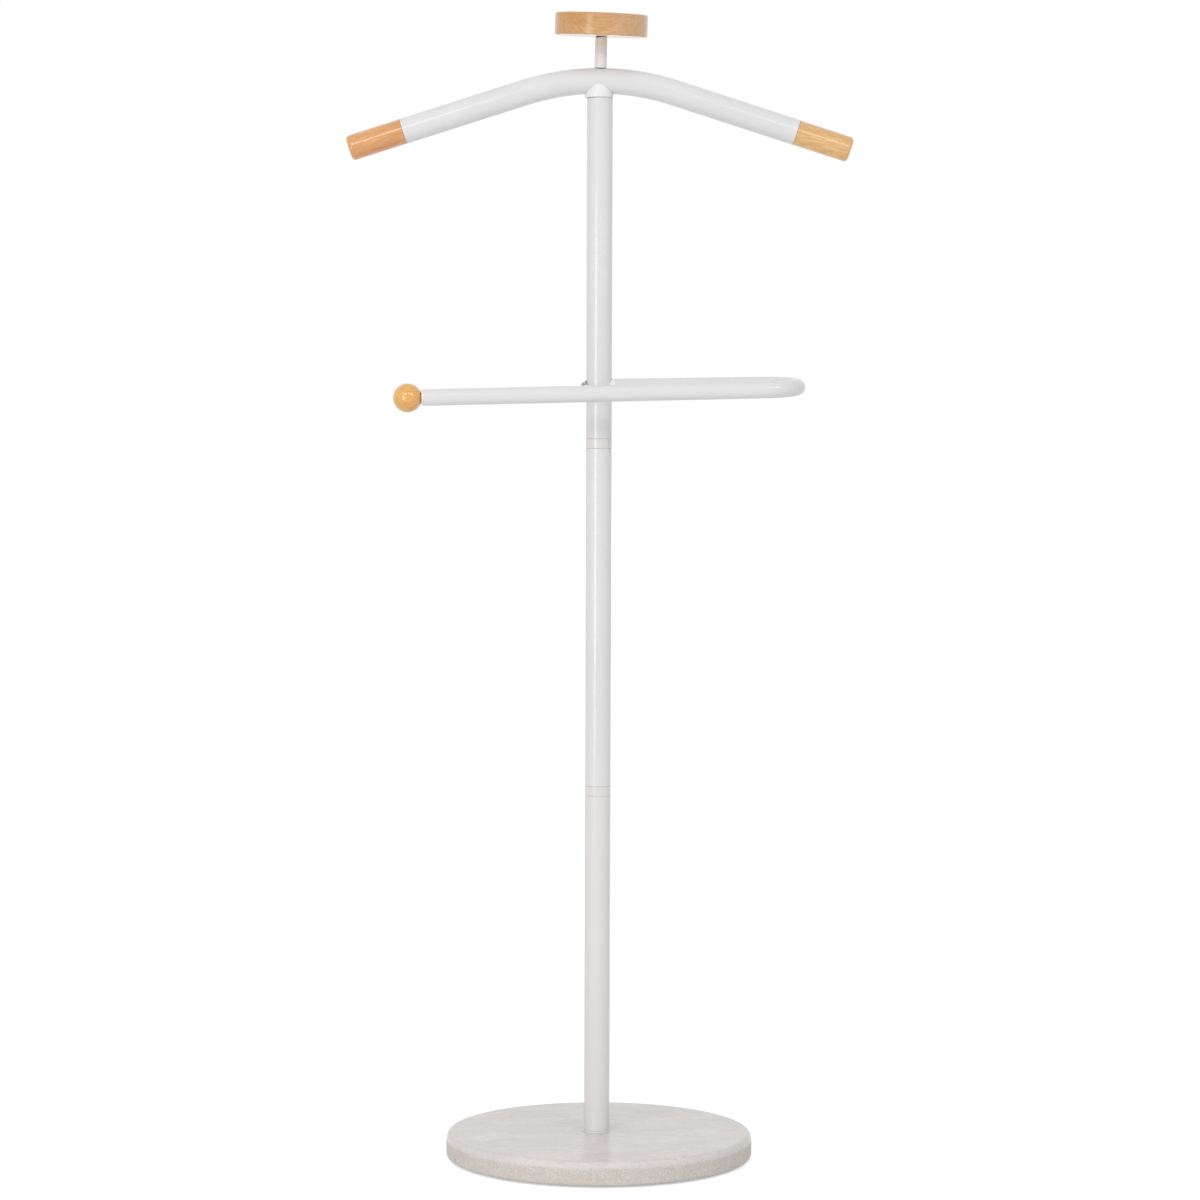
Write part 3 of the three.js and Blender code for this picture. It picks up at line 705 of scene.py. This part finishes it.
# The post's coat is a warmer copy of the white coat: painted warm light from the wooden disc above.
POST_COAT = coat_material(
    # bare is the dark colour painted on the post's core as the shadow in the gaps at its ends.
    "post_coat_surface", srgb(228, 222, 218), rough=0.2, core_shade=srgb(58, 50, 44))
PLUG = coat_material("plug_surface", srgb(230, 228, 227), rough=0.22, peel=0.35, dust=0.15)
PLASTIC = coat_material("white_plastic_surface", srgb(236, 235, 236), rough=0.26, peel=0.35)
MARBLE = marble_material()
LEFT_WOOD = wood_material(
    "left_cap_surface", srgb(234, 171, 97), srgb(220, 147, 76), pith=(30, 18), ring=2.6,
    gloss=0.9, turn=(0.12, 0.16, 0), mirror=1.76)
RIGHT_WOOD = wood_material(
    "right_cap_surface", srgb(241, 193, 123), srgb(227, 172, 100), pith=(-26, 22), ring=2.3,
    gloss=0.9, turn=(-0.1, 0.18, 0), mirror=1.76)
DISC_WOOD = wood_material(
    "disc_wood_surface", srgb(223, 169, 107), srgb(208, 150, 87), pith=(-30, 30), ring=1.9,
    gloss=0.7, turn=(0, math.pi / 2, 0), flame=0.7, fade=(srgb(222, 186, 150), 35, -45),
    under=srgb(242, 233, 226), late_share=0.5)
BALL_WOOD = wood_material(
    "ball_wood_surface", srgb(246, 188, 96), srgb(234, 169, 77), pith=(24, -16), ring=2.2,
    gloss=1.0, late_share=0.35, haze=0.085, seam_dust_and_shade=0.12, mirror=1.62)
DARK_STEEL = steel_material("dark_steel_surface", (0.4, 0.4, 0.41), 0.25, (0.55, 0.54, 0.52))
ZINC = steel_material("zinc_steel_surface", (0.62, 0.63, 0.65), 0.3, (0.5, 0.47, 0.4))
RUBBER = rubber_material()


# Base and foot

def build_slab():
    """The slab: its upper rim a quarter of an ellipse, a counterbore for its bolt from below."""
    mouth, lip = 0.8, 0.5
    rim_points = 13
    ceiling = SLAB_BOTTOM + COUNTERBORE_DEPTH
    rim = [(SLAB_RADIUS - SLAB_RIM_IN * (1 - math.cos(a)),
            SLAB_TOP - SLAB_RIM_DOWN * (1 - math.sin(a)), 0)
           for a in np.linspace(0, math.pi / 2, rim_points)]
    profile = rounded([
        (COUNTERBORE_RADIUS, SLAB_BOTTOM, mouth), (SLAB_RADIUS, SLAB_BOTTOM, SLAB_LOWER_FILLET),
        *rim, (SLAB_HOLE, SLAB_TOP, lip), (SLAB_HOLE, ceiling, 0),
        (COUNTERBORE_RADIUS, ceiling, 0),
    ], steps=8)
    where = Matrix.Translation((SLAB_SHIFT * MM, 0, 0))
    solid("slab", *turned(profile, SLAB_SIDES), MARBLE, "stand", "marble_slab", "marble", where)


def build_pads():
    edge = 0.3
    pad = rounded([
        (0, 0, 0), (PAD_RADIUS, 0, edge), (PAD_RADIUS, SLAB_BOTTOM, edge), (0, SLAB_BOTTOM, 0),
    ], steps=3)
    for i in range(PAD_COUNT):
        a = TAU * (i + 0.5) / PAD_COUNT
        x, y = SLAB_SHIFT + PAD_CIRCLE * math.cos(a), PAD_CIRCLE * math.sin(a)
        solid(f"pad_{i + 1}", *turned(pad, SMALL_SIDES), RUBBER, "stand", f"floor_pad_{i + 1}",
              "pad_rubber", Matrix.Translation((x * MM, y * MM, 0)))


# Pole

def build_pole():
    under, over = 0.2, 0.5
    washer = rounded([
        (FOOT_BORE, 0, 0), (FOOT_RADIUS, 0, under), (FOOT_RADIUS, FOOT_THICKNESS, over),
        (FOOT_BORE, FOOT_THICKNESS, 0),
    ], steps=4)
    solid("foot_ring", *turned(washer, TUBE_SIDES), PLUG, "stand", "foot_washer", "white_plastic",
          lift(SLAB_TOP))
    for i, name in enumerate(("lower", "middle", "upper")):
        tube = solid(f"{name}_pole", *turned(pole_wall(name), TUBE_SIDES),
                     LOW_COAT if name == "lower" else COAT, "stand", f"{name}_pole_tube",
                     "white_coat", lift(POLE_BOTTOM + i * PITCH))
        if name == "upper":
            drilled(tube, BOLT_HOLE, lift(BAR_AXIS) @ TO_RIGHT)
    chamfer = 0.8
    connector = rounded([
        (CONNECTOR_BORE, 0, 0), (POLE_RADIUS, 0, SEAM), (POLE_RADIUS, RING, SEAM),
        (CONNECTOR_RADIUS, RING, 0), (CONNECTOR_RADIUS, RING + CONNECTOR_LENGTH, chamfer),
        (CONNECTOR_BORE, RING + CONNECTOR_LENGTH, 0),
    ], steps=4)
    for i, name in enumerate(("lower", "upper")):
        solid(f"{name}_ring", *turned(connector, TUBE_SIDES), RING_COAT, "stand",
              f"{name}_joint_connector", "white_coat", lift(POLE_BOTTOM + SECTION + i * PITCH))


def pole_wall(name):
    """The wall of a pole section. The upper one has more rows near the hole of the bar's bolt."""
    rows = [BAR_HEIGHT + d for d in (-15, -10, -5, 5, 10, 15)] if name == "upper" else []
    wall = [(POLE_BORE, 0, 0), (POLE_RADIUS, 0, SEAM)]
    wall += [(POLE_RADIUS, z, 0) for z in rows]
    wall += [(POLE_RADIUS, SECTION, SEAM), (POLE_BORE, SECTION, 0)]
    wall += [(POLE_BORE, z, 0) for z in reversed(rows)]
    return rounded(wall, steps=4)


# Shoulder

def shoulder_run():
    half = SHOULDER_BEND * math.sin(SHOULDER_SLOPE)
    drop = SHOULDER_BEND * (1 - math.cos(SHOULDER_SLOPE))
    heading = Vector((math.cos(SHOULDER_SLOPE), 0, math.sin(SHOULDER_SLOPE)))
    start = Vector((-half, 0, SHOULDER_AXIS - drop)) - heading * SHOULDER_ARM
    return Run(start, heading, SHOULDER_ARM, SHOULDER_BEND, 2 * SHOULDER_SLOPE, SHOULDER_ARM,
               (0, 1, 0))


def along(profile, steps, q):
    """The point of a profile at the distance q along it. steps are the distances of its points."""
    return (float(np.interp(q, steps, [p[i] for p in profile])) for i in (0, 1))


def build_collar():
    """The sleeve between pole and shoulder tube: a round block whose top is coped to the tube.

    Its outside is moulded a little to the left of its spigot and of its bore.
    """
    cope = SHOULDER_RADIUS + COPE_GAP
    hub = SHOULDER_AXIS - SHOULDER_BEND
    offset = COLLAR_OFFSET

    def roof(x, y):
        inner = math.sqrt(max(cope * cope - y * y, 0.0))
        return hub + math.sqrt((SHOULDER_BEND - inner) ** 2 - x * x)

    def inside(x, y, z):
        return y * y + (math.hypot(x, z - hub) - SHOULDER_BEND) ** 2 < cope * cope

    chamfer = 0.6
    spigot = rounded([
        (COLLAR_BORE, -COLLAR_SPIGOT_LENGTH, 0),
        (COLLAR_SPIGOT_RADIUS, -COLLAR_SPIGOT_LENGTH, chamfer),
        (COLLAR_SPIGOT_RADIUS, 0, 0), (COLLAR_BORE, 0, 0),
    ], steps=4)[:-1]
    brow = rounded(COLLAR_BROW, steps=6)
    steps = np.cumsum([0] + [math.dist(a, b) for a, b in zip(brow, brow[1:])])
    halvings, brow_points, least_step = 24, 28, 0.1
    roof_shares = (0.02, 0.2, 0.4, 0.6, 0.8, 1.0)
    sides = COLLAR_SIDES
    verts = []
    for k in range(sides):
        c, s = math.cos(TAU * k / sides), math.sin(TAU * k / sides)
        low, top = 0.0, float(steps[-1])
        for _ in range(halvings):
            middle = (low + top) / 2
            r, z = along(brow, steps, middle)
            held = inside(r * c + offset, r * s, POLE_TOP + z)
            low, top = (low, middle) if held else (middle, top)
        column = [(r * c, r * s, POLE_TOP + z) for r, z in spigot]
        stops = [q for q in steps[1:] if q < low - least_step] + [low]
        stops = np.interp(np.linspace(0, len(stops) - 1, brow_points), range(len(stops)), stops)
        for q in stops:
            r, z = along(brow, steps, q)
            column.append((r * c + offset, r * s, POLE_TOP + z))
        for t in roof_shares:
            q = r + (COLLAR_BORE - r) * t
            x = q * c + offset * (1 - t)
            column.append((x, q * s, min(roof(x, q * s), POLE_TOP + COLLAR_TOP)))
        verts += column
    solid("collar", verts, column_faces(sides, len(column)), PLASTIC, "stand", "saddle_collar",
          "white_plastic")


def build_shoulder():
    verts, faces = swept(shoulder_run(), SHOULDER_RADIUS, SHOULDER_BORE, TUBE_SIDES, arc_steps=64)
    tube = solid("shoulder", verts, faces, COAT, "stand", "shoulder_tube", "white_coat")
    drilled(tube, SHOULDER_HOLE, lift(SHOULDER_AXIS))


def build_caps():
    """The two wooden end caps, each with a spigot inside the shoulder tube."""
    run = shoulder_run()
    chamfer, rim, corner = 1.0, 0.35, 3.6
    cap = rounded([
        (0, -CAP_SPIGOT_LENGTH, 0), (CAP_SPIGOT_RADIUS, -CAP_SPIGOT_LENGTH, chamfer),
        (CAP_SPIGOT_RADIUS, 0, 0), (CAP_RADIUS, 0, rim), (CAP_RADIUS, CAP_LENGTH, corner),
        (0, CAP_LENGTH + CAP_DOME, 0),
    ], steps=8)
    up = Vector((0, 0, 1))
    for name, s, sign, wood in (("left", 0, -1, LEFT_WOOD), ("right", run.length, 1, RIGHT_WOOD)):
        place, heading = run.at(s)
        out = heading * sign
        spin = up.rotation_difference(out).to_matrix().to_4x4()
        solid(f"{name}_cap", *turned(cap, TUBE_SIDES), wood, "stand", f"{name}_end_cap", "cap_wood",
              Matrix.Translation((place + out * CAP_GAP) * MM) @ spin)


# Hat post and disc

def build_post():
    """The post: a core between two bored ends, with a coated wall round it; the core is painted dark
    as shadow.
    """
    edge = 0.25
    head = POST_LENGTH + POST_LEDGE
    screw_end = POST_LENGTH - POST_SCREW_DEPTH
    profile = rounded([
        (0, POST_STUD_DEPTH + DRILL_TIP, 0), (POST_STUD_BORE, POST_STUD_DEPTH, 0),
        (POST_STUD_BORE, 0, 0), (POST_CORE, 0, 0), (POST_CORE, POST_LEDGE, 0),
        (POST_RADIUS, POST_LEDGE, edge), (POST_RADIUS, POST_LENGTH, edge),
        (POST_CORE, POST_LENGTH, 0), (POST_CORE, head, 0), (POST_SCREW_BORE, head, 0),
        (POST_SCREW_BORE, screw_end, 0), (0, screw_end - DRILL_TIP, 0),
    ], steps=3)
    verts, faces = turned(profile, SMALL_SIDES)
    verts = [(x, y, z - short_of_disc(x, y, z) - foot_cope(y, z)) for x, y, z in verts]
    where = lift(CROWN + POST_GAP) @ Matrix.Translation((POST_SHIFT * MM, 0, 0))
    solid("post", verts, faces, POST_COAT, "stand", "hat_post", "white_coat",
          where @ Matrix.Rotation(POST_LEAN, 4, "Y"))


def short_of_disc(x, y, z):
    """How much the coated wall of the post stops short of the disc: most at its left."""
    most, end_zone = 1.6, 1
    outside = math.hypot(x, y) >= POST_CORE - TOLERANCE
    if outside and POST_LENGTH - end_zone <= z <= POST_LENGTH + TOLERANCE:
        return most * (0.5 - x / POST_RADIUS / 2)
    return 0.0


def foot_cope(y, z):
    """The core of the post is filed to the shoulder tube, its coated wall only in part."""
    end_zone, wall_share = 1, 0.45
    if z > end_zone:
        return 0.0
    drop = SHOULDER_RADIUS - math.sqrt(SHOULDER_RADIUS ** 2 - y * y)
    return drop if z < POST_LEDGE - TOLERANCE else wall_share * drop


def build_disc():
    """The wooden disc, which leans to the front and a little to the right."""
    mouth, lower, upper = 0.3, 1.1, 1.3
    spin = Euler((DISC_LEAN_FRONT, DISC_LEAN_RIGHT, 0)).to_matrix().to_4x4()
    up = Vector((0, 0, 1))
    rise = POST_RADIUS * math.tan((spin @ up).angle(up))
    disc = rounded([
        (0, DISC_HOLE_DEPTH + DRILL_TIP, 0), (DISC_HOLE, DISC_HOLE_DEPTH, 0), (DISC_HOLE, 0, mouth),
        (DISC_RADIUS, 0, lower), (DISC_RADIUS, DISC_EDGE, upper),
        (DISC_FLAT_RADIUS, DISC_THICKNESS, 0), (0, DISC_THICKNESS, 0),
    ], steps=6)
    base = CROWN + DISC_GAP + POST_LENGTH + rise + DISC_GAP
    where = lift(base) @ Matrix.Translation((DISC_SHIFT * MM, 0, 0))
    solid("disc", *turned(disc, DISC_SIDES), DISC_WOOD, "stand", "hat_disc", "disc_wood", where @ spin)


# Trouser bar

def saddle(name, node, radius, thick, side, material, slot, rise=0.0):
    """A round piece on the side of the pole, hollowed to the pole's curve.

    Its rows run from the hole out along the hollow and back along the flat face, each with its
    radius and how far it lies behind the face.
    """
    reach = POLE_RADIUS + COPE_GAP
    face = POLE_RADIUS + SADDLE_GAP + thick
    edge, corner = 0.35, 0.105
    rows = ((SADDLE_HOLE, None), (radius, None), (radius, edge), (radius - corner, corner),
            (radius - edge, 0), (SADDLE_HOLE, 0))
    sides = BAR_SIDES
    verts = []
    for k in range(sides):
        c, s = math.cos(TAU * k / sides), math.sin(TAU * k / sides)
        for r, behind in rows:
            x = math.sqrt(reach * reach - (r * c) ** 2) if behind is None else face - behind
            verts.append((side * x, r * c, r * s))
    faces = column_faces(sides, len(rows))
    if side < 0:
        faces = [loop[::-1] for loop in faces]
    solid(name, verts, faces, material, "stand", node, slot, lift(BAR_AXIS + rise))


def twisted(x, y, z):
    """The bar is bent a little out of its plane: its back arm rises less than its front arm."""
    back = max(x - BAR_START, 0) * (y + BAR_SPREAD) / BAR_SPREAD
    return x, y, z - math.tan(BAR_TWIST) * back


def build_bolt(turning):
    """The bar's bolt: a low domed head with a socket, its shank through pole and spacer."""
    seat = POLE_RADIUS + CUP_THICKNESS + 2 * SADDLE_GAP
    head_radius, head_height, head_shoulder = 4.8, 2.9, 1.5
    socket_radius, socket_floor, dome_radius = 2.2, 1.1, 3.2
    seat_edge, shoulder_edge, dome_edge = 0.15, 1.2, 0.3
    bolt = rounded([
        (0, seat - BOLT_LENGTH, 0), (BOLT_RADIUS, seat - BOLT_LENGTH, 0), (BOLT_RADIUS, seat, 0),
        (head_radius, seat, seat_edge), (head_radius, seat + head_shoulder, shoulder_edge),
        (dome_radius, seat + head_height, dome_edge), (socket_radius, seat + head_height, 0),
        (socket_radius, seat + socket_floor, 0), (0, seat + socket_floor, 0),
    ], steps=4)
    solid("bolt", *turned(bolt, SMALL_SIDES), DARK_STEEL, "bar", "bar_bolt", "dark_steel",
          turning @ TO_LEFT)


def build_ball(end):
    """The end plug and the ball, which has a small flat against the plug."""
    plug_gap, edge, shoulder, chamfer = 0.03, 0.06, 1.1, 0.8
    ball_points = 49
    plug = rounded([
        (PLUG_BORE, -PLUG_DEPTH, 0), (PLUG_RADIUS, -PLUG_DEPTH, chamfer),
        (PLUG_RADIUS, plug_gap, 0), (BAR_RADIUS, plug_gap, edge),
        (BAR_RADIUS, PLUG_FLANGE, shoulder), (PLUG_BORE, PLUG_FLANGE, 0),
    ], steps=4)
    solid("end_plug", *turned(plug, BAR_SIDES), PLUG, "bar", "ball_plug", "white_plastic", end)
    centre = BALL_SEAT + BALL_RADIUS - BALL_CUT
    hole_end = BALL_SEAT + BALL_HOLE_DEPTH
    ball = [(0, hole_end), (BALL_HOLE, hole_end), (BALL_HOLE, BALL_SEAT)]
    low = -math.asin((BALL_RADIUS - BALL_CUT) / BALL_RADIUS)
    for a in np.linspace(low, math.pi / 2, ball_points)[:-1]:
        ball.append((BALL_RADIUS * math.cos(a), centre + BALL_RADIUS * math.sin(a)))
    ball.append((0.0, centre + BALL_RADIUS))
    solid("ball", *turned(ball, TUBE_SIDES), BALL_WOOD, "bar", "wooden_ball", "ball_wood", end)


def build_bar():
    saddle("spacer", "bar_spacer", SPACER_RADIUS, SPACER_THICKNESS, 1, PLASTIC, "white_plastic",
           SPACER_RISE)
    saddle("cup_washer", "curved_washer", CUP_RADIUS, CUP_THICKNESS, -1, DARK_STEEL, "dark_steel")
    turning = lift(BAR_AXIS) @ Matrix.Rotation(BAR_DROOP, 4, "X")
    rising = turning @ Matrix.Rotation(-BAR_RISE, 4, "Y")
    run = Run((BAR_START, 0, 0), (1, 0, 0), BAR_BEND_X - BAR_START, BAR_SPREAD / 2, -math.pi,
              BAR_BEND_X + BAR_LEFT, (0, 0, 1))
    verts, faces = swept(run, BAR_RADIUS, BAR_BORE, BAR_SIDES, arc_steps=72, straight_steps=8,
                         edge=0.15)
    verts = [twisted(*p) for p in verts]
    solid("bar", verts, faces, BAR_COAT, "bar", "bar_tube", "white_coat", rising)
    build_bolt(turning)
    end = rising @ Matrix.Translation((-BAR_LEFT * MM, -BAR_SPREAD * MM, 0)) @ TO_LEFT
    build_ball(end)


def finish_hidden():
    """The fasteners keep their CAD shape and get steel."""
    for name in ("base_bolt", "slab_washer", "lock_washer", "foot_insert", "lower_joint_socket",
                 "lower_joint_stud", "upper_joint_socket", "upper_joint_stud", "top_insert",
                 "shoulder_stud", "disc_screw", "bar_insert", "ball_stud"):
        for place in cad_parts[name].material_slots:
            place.material = ZINC


# Stage, light and camera

def build_floor():
    """A wide white floor that shows the stand's shadow and is otherwise background white.

    Its glow shows to the camera and in reflections only. It rises with the distance from the
    stand, and again close to the base, where less light arrives; there it is painted light that
    lightens the stand's shadow.
    """
    r = FLOOR_REACH / MM
    floor = mesh_object("floor", [(-r, -r, 0), (r, -r, 0), (r, r, 0), (-r, r, 0)], [(0, 1, 2, 3)])
    s = Surface("floor_white", Base_Color=(0.8, 0.8, 0.8, 1), Roughness=0.9, Specular_IOR_Level=0.0)
    away = s.node("ShaderNodeVectorMath", operation="LENGTH")
    s.plug(away.inputs[0], s.place)
    wide = s.span(away.outputs["Value"], *FLOOR_GLOW_WIDE, "LINEAR")
    close = s.span(away.outputs["Value"], *FLOOR_GLOW_CLOSE, "LINEAR")
    strength = s.math("MULTIPLY", s.seen_directly(), s.math("ADD", wide, close))
    glow = s.node("ShaderNodeEmission")
    s.plug(glow.inputs["Strength"], strength)
    both = s.node("ShaderNodeAddShader")
    s.plug(both.inputs[0], s.shader.outputs[0])
    s.plug(both.inputs[1], glow.outputs[0])
    s.plug(s.tree.nodes["Material Output"].inputs["Surface"], both.outputs[0])
    floor.data.materials.append(s.material)


def build_world():
    """A white studio, brighter in front of the stand than behind it and at its sides."""
    world = bpy.data.worlds.new("studio")
    bpy.context.scene.world = world
    world.use_nodes = True
    s = Nodes(world.node_tree)
    background = s.tree.nodes["Background"]
    background.inputs["Color"].default_value = (1, 1, 1, 1)
    ray = s.coordinates("Generated")
    lean = s.node("ShaderNodeVectorMath", operation="DOT_PRODUCT")
    s.plug(lean.inputs[0], ray)
    lean.inputs[1].default_value = BRIGHT_SIDE
    front = s.span(lean.outputs["Value"], -1, 1, WORLD_BACK, WORLD_FRONT, "LINEAR")
    x = s.parts(ray)["X"]
    lit = s.math("MULTIPLY_ADD", s.math("MULTIPLY", x, x), -WORLD_SIDE_FALL, front)
    choose = s.node("ShaderNodeMix")
    s.plug(choose.inputs[0], s.seen_directly())
    s.plug(choose.inputs[2], lit)
    choose.inputs[3].default_value = 1.0
    s.plug(background.inputs["Strength"], choose.outputs[0])


def build_light(name, azimuth, elevation, distance, width, height, watts):
    """A softbox aimed at the middle of the stand."""
    data = bpy.data.lights.new(name, "AREA")
    data.shape, data.size, data.size_y, data.energy = "ELLIPSE", width, height, watts
    light = bpy.data.objects.new(name, data)
    bpy.context.scene.collection.objects.link(light)
    a, e = math.radians(azimuth), math.radians(elevation)
    back = Vector((math.sin(a) * math.cos(e), -math.cos(a) * math.cos(e), math.sin(e)))
    light.location = Vector(LAMP_AIM) + back * distance
    light.rotation_mode = "QUATERNION"
    light.rotation_quaternion = back.to_track_quat("Z", "Y")
    light.visible_camera = False


def build_camera():
    """The camera of the photograph, fitted to the base's outline and the pole's sections."""
    data = bpy.data.cameras.new("camera")
    data.sensor_width, data.lens = CAMERA_SENSOR, CAMERA_LENS
    data.clip_end = CAMERA_REACH
    camera = bpy.data.objects.new("camera", data)
    bpy.context.scene.collection.objects.link(camera)
    tilt = Matrix.Rotation(math.pi / 2 - CAMERA_TILT, 4, "X")
    roll = Matrix.Rotation(CAMERA_ROLL, 4, "Z")
    camera.matrix_world = Matrix.Translation(CAMERA_PLACE) @ tilt @ roll
    bpy.context.scene.camera = camera


build_slab()
build_pads()
build_pole()
build_shoulder()
build_collar()
build_caps()
build_post()
build_disc()
build_bar()
finish_hidden()
build_floor()
build_world()
for softbox, settings in SOFTBOXES.items():
    build_light(softbox, *settings)
build_camera()
bpy.context.scene.view_settings.view_transform = "Standard"
